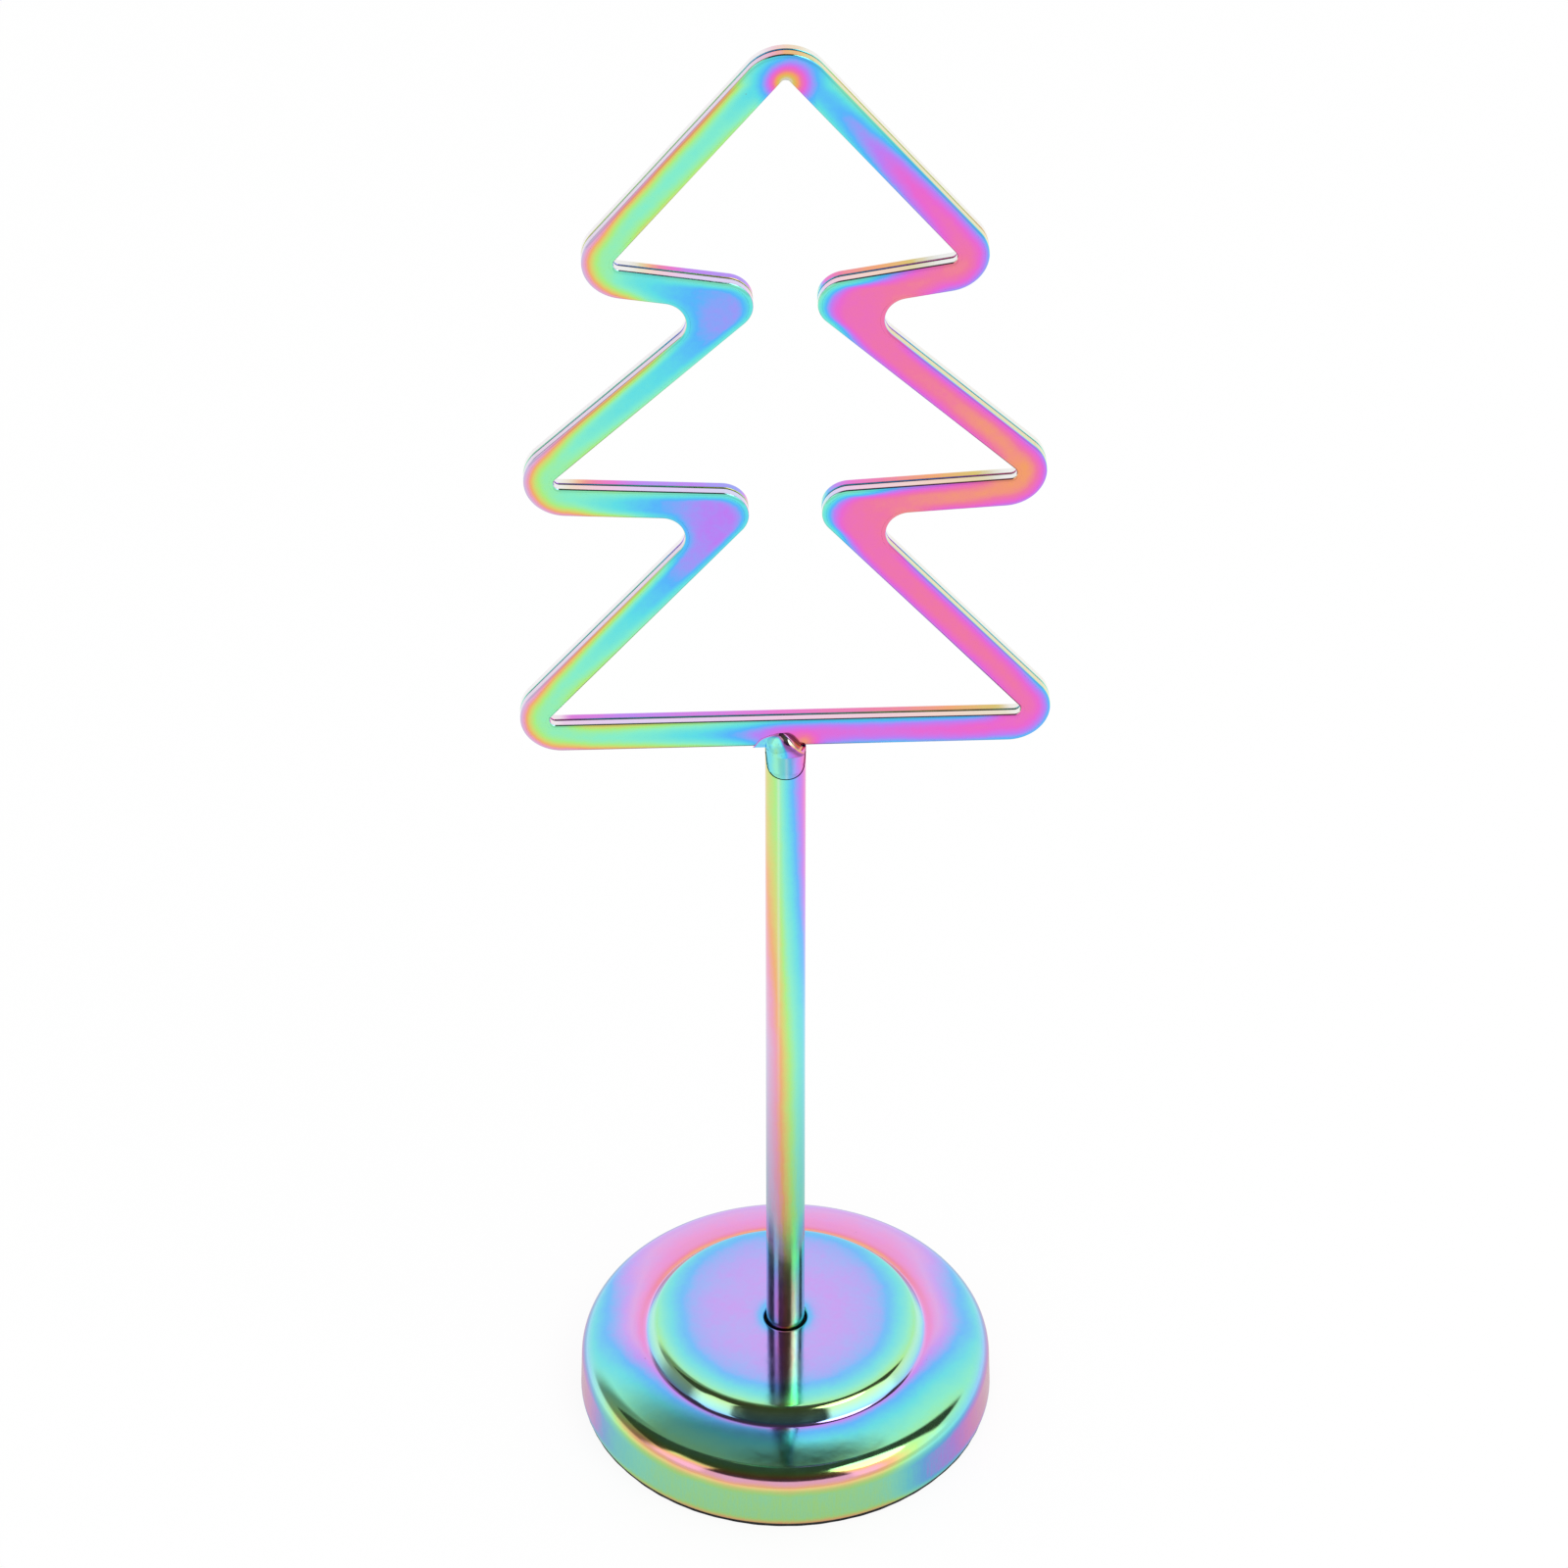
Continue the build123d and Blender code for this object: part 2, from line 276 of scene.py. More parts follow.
def zinc_material():
    """Bright zinc on small steel fasteners, a little blotched."""
    material, tree, shader, place = new_material("zinc_steel")
    blotches = noise(tree, place, 700.0, 3.0, 0.6)
    tint = ramp(tree, blotches, [(0.3, 172, 176, 182), (0.5, 196, 198, 200), (0.7, 206, 202, 190)], 1.0)
    rough = mapped(tree, blotches, 0.2, 0.8, 0.24, 0.42)
    dress(tree, shader, tint, rough, 1.0, blotches, 0.15, 0.0001)
    return material


def rubber_material():
    """Soft black pad with a fine, dusty grain."""
    material, tree, shader, place = new_material("black_rubber")
    grain = noise(tree, place, 3200.0, 3.0, 0.65)
    dust = noise(tree, place, 160.0, 3.0)
    tint = ramp(tree, dust, [(0.3, 14, 14, 15), (0.6, 22, 22, 23), (0.8, 34, 34, 36)], 1.0)
    rough = mapped(tree, grain, 0.2, 0.8, 0.7, 0.92)
    dress(tree, shader, tint, rough, 0.0, grain, 0.6, 0.0002)
    return material


# Mesh helpers
def grid_faces(rows, columns, close_rows, close_columns, start=0):
    """Quads of a grid of points that are numbered row by row."""
    row_steps = rows if close_rows else rows - 1
    column_steps = columns if close_columns else columns - 1
    i, j = np.meshgrid(np.arange(row_steps), np.arange(column_steps), indexing="ij")
    i_next, j_next = (i + 1) % rows, (j + 1) % columns
    quads = [i * columns + j, i * columns + j_next, i_next * columns + j_next, i_next * columns + j]
    return (np.stack(quads, -1).reshape(-1, 4) + start).tolist()


def tube_faces(rings, around):
    """Faces of a row of closed rings of points, with one end face at either end."""
    faces = grid_faces(rings, around, False, True)
    faces.append(list(range(around))[::-1])
    faces.append(list(range((rings - 1) * around, rings * around)))
    return faces


def make_piece(name, points, faces, looks, material, body, nodes, sharp_angle, merge):
    """A closed mesh in millimetres that stands for CAD nodes; looks may be a function of its points."""
    mesh = bpy.data.meshes.new(name)
    mesh.from_pydata((points * MM).tolist(), [], faces)
    work = bmesh.new()
    work.from_mesh(mesh)
    if merge:
        bmesh.ops.remove_doubles(work, verts=work.verts, dist=2e-7)
        bmesh.ops.dissolve_degenerate(work, edges=work.edges, dist=1e-8)
    bmesh.ops.recalc_face_normals(work, faces=work.faces)
    work.to_mesh(mesh)
    work.free()
    if callable(looks):
        spots = np.empty(len(mesh.vertices) * 3)
        mesh.vertices.foreach_get("co", spots)
        looks = looks(spots.reshape(-1, 3) / MM)
    for key in LOOKS if looks is not None else ():
        values = np.broadcast_to(np.asarray(looks.get(key, 0.0), np.float32).ravel(), len(mesh.vertices))
        attribute = mesh.attributes.new(key, "FLOAT", "POINT")
        attribute.data.foreach_set("value", np.ascontiguousarray(values))
    mesh.shade_smooth()
    mesh.set_sharp_from_angle(angle=math.radians(sharp_angle))
    mesh.materials.append(material)
    piece = bpy.data.objects.new(name, mesh)
    bpy.context.scene.collection.objects.link(piece)
    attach(piece, body)
    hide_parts(*nodes)


def corner_turn(before, here, after):
    """Directions into and out of a corner, and the angle to the left between them."""
    arriving = (here - before) / np.linalg.norm(here - before)
    leaving = (after - here) / np.linalg.norm(after - here)
    turn = math.atan2(arriving[0] * leaving[1] - arriving[1] * leaving[0], arriving @ leaving)
    return arriving, leaving, turn


# Tree plates
def tree_corners():
    """Corners along the middle of the bar, clockwise from the apex, seen from the front."""
    right = [
        ("tip", *TOP_TIP),
        ("notch", *TOP_NOTCH),
        ("tip", *MIDDLE_TIP),
        ("notch", *LOW_NOTCH),
        ("tip", *LOW_TIP),
    ]
    corners = [("apex", 0.0, APEX_RISE)] + right
    corners += [(kind, -x, rise) for kind, x, rise in reversed(right)]
    return [(kind, x, rise + BAR_MIDDLE_Z) for kind, x, rise in corners]


def bar_stations():
    """Places round the bar: both edges, the outward normal, the bars that meet there, and the kind."""
    corners = tree_corners()
    count = len(corners)
    arcs = []
    for index, (kind, x, z) in enumerate(corners):
        here = np.array([x, z])
        before = np.array(corners[index - 1][1:])
        after = np.array(corners[(index + 1) % count][1:])
        arriving, leaving, turn = corner_turn(before, here, after)
        first = np.array([-arriving[1], arriving[0]])
        second = np.array([-leaving[1], leaving[0]])
        side = -1.0 if turn > 0 else 1.0
        steps = max(12, int(abs(math.degrees(turn)) / 3.5))
        start = math.atan2(first[1], first[0])
        angles = start + turn * np.linspace(0, 1, steps + 1)
        normals = np.stack([np.cos(angles), np.sin(angles)], -1)
        spread = (first + second) / (1 + first @ second)
        outer_radius, inner_radius = OUTER_RADII[kind], INNER_RADII[kind]
        half = BAR_WIDTH / 2 - OUTLINE_INSET
        outer = here + spread * (half - side * outer_radius) + side * outer_radius * normals
        inner = here - spread * (half + side * inner_radius) + side * inner_radius * normals
        arcs.append((outer, inner, normals))
    keys = ("outer", "inner", "normal", "before", "after", "turned", "tip", "notch", "apex")
    found = {key: [] for key in keys}
    # Millimetres over which a corner's influence fades along a bar
    fade = 3.0

    def add(outer, inner, normals, before, after, turned, strengths):
        size = len(outer)
        values = [outer, inner, normals, np.full(size, before), np.full(size, after), turned]
        values += [np.broadcast_to(strengths[kind], size) for kind in keys[-3:]]
        for key, value in zip(keys, values):
            found[key].append(value)

    for index, (outer, inner, normals) in enumerate(arcs):
        kind, next_kind = corners[index][0], corners[(index + 1) % count][0]
        strengths = dict.fromkeys(keys[-3:], 0.0)
        strengths[kind] = 1.0
        add(outer, inner, normals, (index - 1) % count, index, np.linspace(0, 1, len(outer)), strengths)
        next_outer, next_inner = arcs[(index + 1) % count][:2]
        length = np.linalg.norm(next_outer[0] - outer[-1])
        extra = max(8, int(length / 0.45))
        share = np.linspace(0, 1, extra + 2)[1:-1]
        mix = share[:, None]
        strengths = dict.fromkeys(keys[-3:], 0.0)
        strengths[kind] = np.exp(-(share * length / fade) ** 2)
        strengths[next_kind] = strengths[next_kind] + np.exp(-((1 - share) * length / fade) ** 2)
        bar_outer = outer[-1] * (1 - mix) + next_outer[0] * mix
        bar_inner = inner[-1] * (1 - mix) + next_inner[0] * mix
        bar_normals = np.repeat(normals[-1:], extra, 0)
        add(bar_outer, bar_inner, bar_normals, index, index, np.zeros(extra), strengths)
    return {key: np.concatenate(value) for key, value in found.items()}


# The bar at the foot of the tree, counted clockwise from the apex
FOOT_BAR = 5
# Film along the middle of each bar, in the same order: share of the bar's length and film
BAR_FILM = [
    [(0, 0.53), (0.25, 0.48), (0.5, 0.36), (1, 0.225)],
    [(0, 0.225), (0.5, 0.235), (1, 0.285)],
    [(0, 0.285), (0.45, 0.235), (0.75, 0.18), (1, 0.175)],
    [(0, 0.175), (0.5, 0.195), (1, 0.28)],
    [(0, 0.28), (0.25, 0.255), (0.8, 0.255), (1, 0.275)],
    [(0, 0.275), (0.3, 0.34), (0.48, 0.375), (0.62, 0.51), (0.8, 0.65), (1, 0.71)],
    [(0, 0.71), (0.2, 0.68), (0.5, 0.58), (0.85, 0.41), (1, 0.40)],
    [(0, 0.40), (0.25, 0.44), (0.5, 0.54), (0.85, 0.70), (1, 0.71)],
    [(0, 0.71), (0.12, 0.71), (0.4, 0.61), (0.7, 0.53), (0.9, 0.44), (1, 0.43)],
    [(0, 0.43), (0.4, 0.50), (0.6, 0.56), (0.88, 0.70), (1, 0.71)],
    [(0, 0.71), (0.5, 0.65), (0.75, 0.61), (0.92, 0.53), (1, 0.53)],
]


def bar_film(bar, x, z):
    """Film on the middle of a bar, where each place is nearest to it."""
    corners = tree_corners()
    start_x, start_z = corners[bar][1:]
    end_x, end_z = corners[(bar + 1) % len(corners)][1:]
    run_x, run_z = end_x - start_x, end_z - start_z
    share = ((x - start_x) * run_x + (z - start_z) * run_z) / (run_x ** 2 + run_z ** 2)
    return stops(share, BAR_FILM[bar]), np.clip(share, 0, 1)


def face_film(places, x, z, to_outer, to_inner):
    """Film on the broad side of a plate, seen from its own front: thicker towards its free edges."""
    every = np.stack([bar_film(bar, x, z)[0] for bar in range(len(BAR_FILM))])
    column = np.arange(len(x))
    before, after = every[places["before"], column], every[places["after"], column]
    blend = smooth(places["turned"], 0, 1)
    value = before * (1 - blend) + after * blend
    tip, notch, apex = places["tip"], places["notch"], places["apex"]
    right = smooth(x, -1, 1)
    outward, inward = places["normal"][:, 1], -places["normal"][:, 1]
    outer_gain = 0.29 - 0.11 * right + 0.06 * tip - 0.2 * notch + 0.03 * apex
    outer_gain = outer_gain + 0.02 * np.maximum(0, outward)
    inner_gain = 0.15 * (1 - tip) + (0.04 + 0.19 * right) * notch
    inner_gain = (inner_gain + 0.06 * np.maximum(0, inward) * (1 - tip)) * (1 - apex)
    outer_reach = 2.0 + 0.8 * tip + 0.3 * apex
    inner_reach = 2.0 + (0.3 + 1.2 * right) * notch
    value = value + outer_gain * np.clip(1 - to_outer / outer_reach, 0, 1) ** 2
    value = value + inner_gain * np.clip(1 - to_inner / inner_reach, 0, 1) ** 2
    # A ring of thinner film hooks round the inside of the apex
    top = places["inner"][np.argmax(places["inner"][:, 1])]
    reach = np.hypot(x, z - top[1] + 0.2) / (1 + 0.15 * np.tanh(x / 1.5))
    hook = [(0.3, 0.0), (0.7, 0.05), (1.2, 0.15), (1.8, 0.29), (2.4, 0.40), (3.2, 0.48), (4.4, 0.58)]
    hook += [(6.5, 0.76), (10, 1.1)]
    value = np.minimum(value, stops(reach, hook))
    # Heat from the weld has left a thinner halo over the middle of the bottom bar
    above = z - TREE_FOOT_Z
    halo = np.exp(-(((x - 0.4) / 4.6) ** 2 + ((above - 0.4) / 2.4) ** 2))
    warm = np.exp(-(((x - 2.4) / 1.3) ** 2 + ((above - 0.6) / 1.3) ** 2))
    value = value + (0.30 - value) * 0.85 * halo
    value = value + (0.17 - value) * 0.9 * warm
    return value


def inner_wall_looks(places, x, front):
    """Film and paleness of the walls that face the inside of the tree; the paleness of walls that face up
    is painted highlight.
    """
    up = -places["normal"][:, 1]
    bar = np.where(places["turned"] > 0.5, places["after"], places["before"])
    middle = (places["outer"] + places["inner"]) / 2
    every = np.stack([bar_film(index, *middle.T)[1] for index in range(len(BAR_FILM))])
    shares = every[bar, np.arange(len(x))]
    # Level bars have odd numbers: on the right they start at their tip, on the left they end at it
    from_tip = np.where(bar % 2 == 1, np.where(bar < FOOT_BAR, shares, 1 - shares), 0.5)
    ends = np.array([place[1:] for place in tree_corners()])
    length = np.linalg.norm(np.roll(ends, -1, axis=0) - ends, axis=1)[bar]
    from_tip = np.clip((from_tip * length - TIP_CORNER) / (length - TIP_CORNER), 0, 1)
    right_tier = [(0, 0), (0.12, 0.04), (0.2, 0.09), (0.35, 0.155), (0.5, 0.20), (0.62, 0.26)]
    right_tier += [(0.74, 0.35), (0.84, 0.48), (0.93, 0.60), (1, 0.66)]
    left_tier = [(0, 0), (0.03, 0.02), (0.063, 0.08), (0.11, 0.155), (0.18, 0.24), (0.25, 0.31)]
    left_tier += [(0.32, 0.37), (0.6, 0.41), (1, 0.47)]
    foot = [(0, 0), (0.07, 0.04), (0.14, 0.1), (0.21, 0.16), (0.3, 0.22), (0.5, 0.31), (0.65, 0.36)]
    foot += [(0.83, 0.37), (0.92, 0.28), (0.95, 0.18), (0.975, 0.06), (1, 0)]
    right = x > 0
    film = np.where(right, stops(from_tip, right_tier), stops(from_tip, left_tier))
    film = np.where(bar == FOOT_BAR, stops(shares, foot), film)
    # Round a notch the wall turns away from the light
    round_notch = places["notch"] * smooth(up, 0.75, 0.2)
    film = film + round_notch * (np.where(right, 0.66, 0.26) - film)
    film = np.where(up < -0.3, 0.5 - 0.008 * x, film)
    # Walls that face up are painted pale, a painted highlight, strongest on the front plate
    tier_pale = 0.62 - 0.25 * right * smooth(from_tip, 0.5, 0.1) if front else 0.08
    pale_and_highlight = np.where(up > 0, tier_pale, 0.1)
    # A painted glint on the walls at the tips that face up
    pale_and_highlight = np.maximum(pale_and_highlight, places["tip"] ** 6 * 0.85 * smooth(up, -0.2, 0.4))
    # The walls round the apex are painted pale, a painted highlight
    pale_and_highlight = pale_and_highlight + places["apex"] * (0.7 - pale_and_highlight)
    film = film + places["apex"] * (0.02 - film)
    return film, pale_and_highlight


def outer_wall_looks(places, x, front):
    """Film and paleness of the walls that face away from the tree; the paleness is painted highlight."""
    across, up = places["normal"].T
    rising = [(-0.75, 1.03), (-0.45, 0.99), (-0.2, 0.93), (0, 0.885), (0.25, 0.86), (0.5, 0.835)]
    film = stops(across, rising + [(0.75, 0.83)])
    # Painted highlight: walls that face sideways are paler
    pale_and_highlight = stops(across, [(-0.75, 0.42), (-0.3, 0.15), (0, 0.08), (0.3, 0.12), (0.75, 0.42)])
    # On the back plate these walls are painted paler, a painted highlight
    if not front:
        pale_and_highlight = 0.5 + 0.4 * smooth(np.abs(across), 0.2, 0.6)
    film = np.where(up < 0, np.where(x > 0, 0.46, 0.96), film)
    pale_and_highlight = np.where(up < 0, 0.1, pale_and_highlight)
    return film, pale_and_highlight


def tree_plate(front_y, front):
    """One stamped plate: the bar that runs round the tree, with softly rounded edges."""
    places = bar_stations()
    outer, inner, normals = places["outer"], places["inner"], places["normal"]
    across = (1 - np.cos(np.linspace(0, math.pi, 33))) / 2
    across = np.concatenate([[0, 0.004], across[1:-1], [0.996, 1]])
    quarter = np.linspace(0, math.pi / 2, 11)[1:-1]
    free_edge, gap_edge = (EDGE_RUN, EDGE_DROP), (GAP_EDGE_RUN, GAP_EDGE_DROP)
    (low_run, low_drop), (high_run, high_drop) = (free_edge, gap_edge) if front else (gap_edge, free_edge)
    depths = np.concatenate([[0, 0.01], np.linspace(0.1, 0.9, 4), [0.99, 1]])
    depths = low_drop + (PLATE_THICKNESS - low_drop - high_drop) * depths
    bends = [(1 - math.sin(a), 1 - math.cos(a), a) for a in quarter]
    low_bend = [(low_run * run, low_drop * drop, a) for run, drop, a in bends]
    high_bend = [(high_run * run, PLATE_THICKNESS - high_drop * drop, a) for run, drop, a in bends]
    wall = [(0.0, y, math.pi / 2) for y in depths]
    # Round the section: kind of surface, share across a face or length in from an edge, depth, and slope
    profile = [("face", share, 0.0, 0.0) for share in across]
    profile += [("inner", *place) for place in low_bend + wall + high_bend[::-1]]
    profile += [("face", share, PLATE_THICKNESS, 0.0) for share in across[::-1]]
    profile += [("outer", *place) for place in high_bend + wall[::-1] + low_bend[::-1]]
    inner_film, inner_pale = inner_wall_looks(places, outer[:, 0], front)
    outer_film, outer_pale = outer_wall_looks(places, outer[:, 0], front)
    columns = {key: [] for key in ("point", "film", "pale_and_highlight", "painted_shade", "wear")}
    mirror = 1.0 if front else -1.0
    for kind, share, y, angle in profile:
        if kind == "face":
            run = high_run if y else low_run
            flat = (outer - run * normals) * (1 - share) + (inner + run * normals) * share
        elif kind == "inner":
            flat = inner + share * normals
        else:
            flat = outer - share * normals
        columns["point"].append(np.stack([flat[:, 0], np.full(len(flat), front_y + y), flat[:, 1]], -1))
        to_outer = np.linalg.norm(flat - outer, axis=1)
        to_inner = np.linalg.norm(flat - inner, axis=1)
        film = face_film(places, mirror * flat[:, 0], flat[:, 1], to_outer, to_inner)
        pale_and_highlight = painted_shade = wear = np.zeros(len(flat))
        if kind != "face":
            wall_share = smooth(angle, 0.95, 1.45)
            wall_film = inner_film if kind == "inner" else outer_film
            wall_pale = inner_pale if kind == "inner" else outer_pale
            down = normals[:, 1] if kind == "inner" else -normals[:, 1]
            film = film * (1 - wall_share) + wall_film * wall_share
            pale_and_highlight = wall_pale * wall_share
            # Painted shade on the rounded edges that face down
            painted_shade = 0.5 * smooth(down, 0.0, 0.5) * smooth(angle, 0.8, 1.4)
            wear = np.full(len(flat), (0.22 if kind == "outer" else 0.08) * wall_share)
        for key, value in (("film", film), ("pale_and_highlight", pale_and_highlight), ("painted_shade", painted_shade), ("wear", wear)):
            columns[key].append(value)
    faces = grid_faces(len(outer), len(profile), True, True)
    points = np.stack(columns.pop("point"), 1).reshape(-1, 3)
    looks = {key: np.stack(value, 1).ravel() for key, value in columns.items()}
    return points, faces, looks


# Lathe outlines
def rounded_outline(corners, radii, step=0.12, arc_step=4.0):
    """Points along an open outline whose inner corners are rounded by the given radii."""
    points = [np.array(corners[0], float)]
    for index in range(1, len(corners) - 1):
        before, here, after = (np.array(c, float) for c in corners[index - 1:index + 2])
        radius = radii[index - 1]
        arriving, leaving, turn = corner_turn(before, here, after)
        back = radius * math.tan(abs(turn) / 2)
        start, end = here - arriving * back, here + leaving * back
        side = 1.0 if turn > 0 else -1.0
        centre = start + side * radius * np.array([-arriving[1], arriving[0]])
        points += line_points(points[-1], start, step)[1:]
        steps = max(3, int(abs(math.degrees(turn)) / arc_step))
        spoke = start - centre
        for turned in np.linspace(0, turn, steps + 1)[1:]:
            c, s = math.cos(turned), math.sin(turned)
            points.append(centre + np.array([c * spoke[0] - s * spoke[1], s * spoke[0] + c * spoke[1]]))
    points += line_points(points[-1], np.array(corners[-1], float), step)[1:]
    return points


def line_points(start, end, step):
    """Points on a straight run, with one close to each end that keeps the shading flat."""
    length = np.linalg.norm(end - start)
    if length < 0.08:
        return [start, end]
    shares = np.linspace(0, 1, max(2, int(length / step)) + 1)
    shares = np.concatenate([[0, 0.02 / length], shares[1:-1], [1 - 0.02 / length, 1]])
    return [start * (1 - share) + end * share for share in shares]


def cover_outline():
    """Closed half section of the cap: outside from the stem hole to the skirt, then back up inside."""
    dome_radius = (PLATEAU_X ** 2 + PLATEAU_CROWN ** 2) / (2 * PLATEAU_CROWN)
    dome_z = CROWN_Z - dome_radius
    hole = STEM_RADIUS + STEM_HOLE_CLEARANCE
    skirt_x = BASE_DIAMETER / 2

    def dome(x, inset):
        return (x, dome_z + math.sqrt((dome_radius - inset) ** 2 - x ** 2))

    edge_x = hole + STEM_HOLE_EDGE
    outside = []
    for angle in np.linspace(0, math.pi / 2, 7):
        x = edge_x - STEM_HOLE_EDGE * math.cos(angle)
        drop = STEM_HOLE_EDGE * (1 - math.sin(angle))
        outside.append(np.array([x, dome(edge_x, 0)[1] - drop]))
    join_x = PLATEAU_X - 3.0
    outside += [np.array(dome(x, 0)) for x in np.arange(edge_x + 0.15, join_x, 0.15)]
    corners = [dome(join_x, 0), (PLATEAU_X, PLATEAU_Z), (RISER_FOOT_X, RISER_FOOT_Z)]
    corners += [(SHOULDER_X, SHOULDER_Z), (skirt_x, PAD_THICKNESS)]
    outside += rounded_outline(corners, [PLATEAU_EDGE_RADIUS, RISER_FOOT_RADIUS, SHOULDER_RADIUS])
    lip = 0.12
    last = outside[-1]
    outside = outside[:-3] + [last + np.array([0.0, lip])]
    for angle in np.linspace(0, math.pi / 2, 5)[1:]:
        outside.append(last + np.array([-lip * (1 - math.cos(angle)), lip * (1 - math.sin(angle))]))
    outside = np.array(outside)
    along = np.clip((outside[:, 0] - RISER_FOOT_X - 0.2) / (SHOULDER_X - RISER_FOOT_X - 0.9), 0, 1)
    # This scale brings the top of the bow's curve to 1
    bow_scale = 6.75
    outside[:, 1] += FLANGE_BOW * bow_scale * along * (1 - along) ** 2
    inner_skirt_x = skirt_x - SHEET / math.cos(SKIRT_DRAFT)
    inside = [(inner_skirt_x, PAD_THICKNESS)]
    skirt_height = SHOULDER_HEIGHT - SHEET * 0.9
    inner_shoulder_x = inner_skirt_x - skirt_height * math.tan(SKIRT_DRAFT)
    drop = SHEET / math.cos(FLANGE_ANGLE)
    flange = math.tan(FLANGE_ANGLE)
    inner_riser_x = RISER_FOOT_X - SHEET * 0.62
    inner_riser_z = RISER_FOOT_Z - drop + (RISER_FOOT_X - inner_riser_x) * flange
    inner_shoulder_z = RISER_FOOT_Z - drop - (inner_shoulder_x - RISER_FOOT_X) * flange
    inner_plateau_x = PLATEAU_X - SHEET * 0.62
    inside += [(inner_shoulder_x, inner_shoulder_z), (inner_riser_x, inner_riser_z)]
    inside += [dome(inner_plateau_x, SHEET), dome(inner_plateau_x - 2.0, SHEET)]
    inside = rounded_outline(inside, [SHOULDER_RADIUS - SHEET, RISER_FOOT_RADIUS + SHEET, 0.7], 0.5, 12.0)
    inside += [np.array(dome(x, SHEET)) for x in np.arange(inner_plateau_x - 2.5, hole + 0.3, -0.6)]
    inside.append(np.array(dome(hole, SHEET)))
    return np.concatenate([outside, np.array(inside)])


def lathe(outline, segments, closed=True, shrink=0.0):
    """An outline turned about Z, its radius made smaller by shrink, which may vary round it."""
    angles = np.linspace(0, 2 * math.pi, segments, endpoint=False)
    reach = outline[None, :, 0] - shrink
    x = reach * np.sin(angles)[:, None]
    y = -reach * np.cos(angles)[:, None]
    z = np.repeat(outline[None, :, 1], segments, 0)
    points = np.stack([x, y, z], -1).reshape(-1, 3)
    return points, grid_faces(segments, len(outline), True, closed)


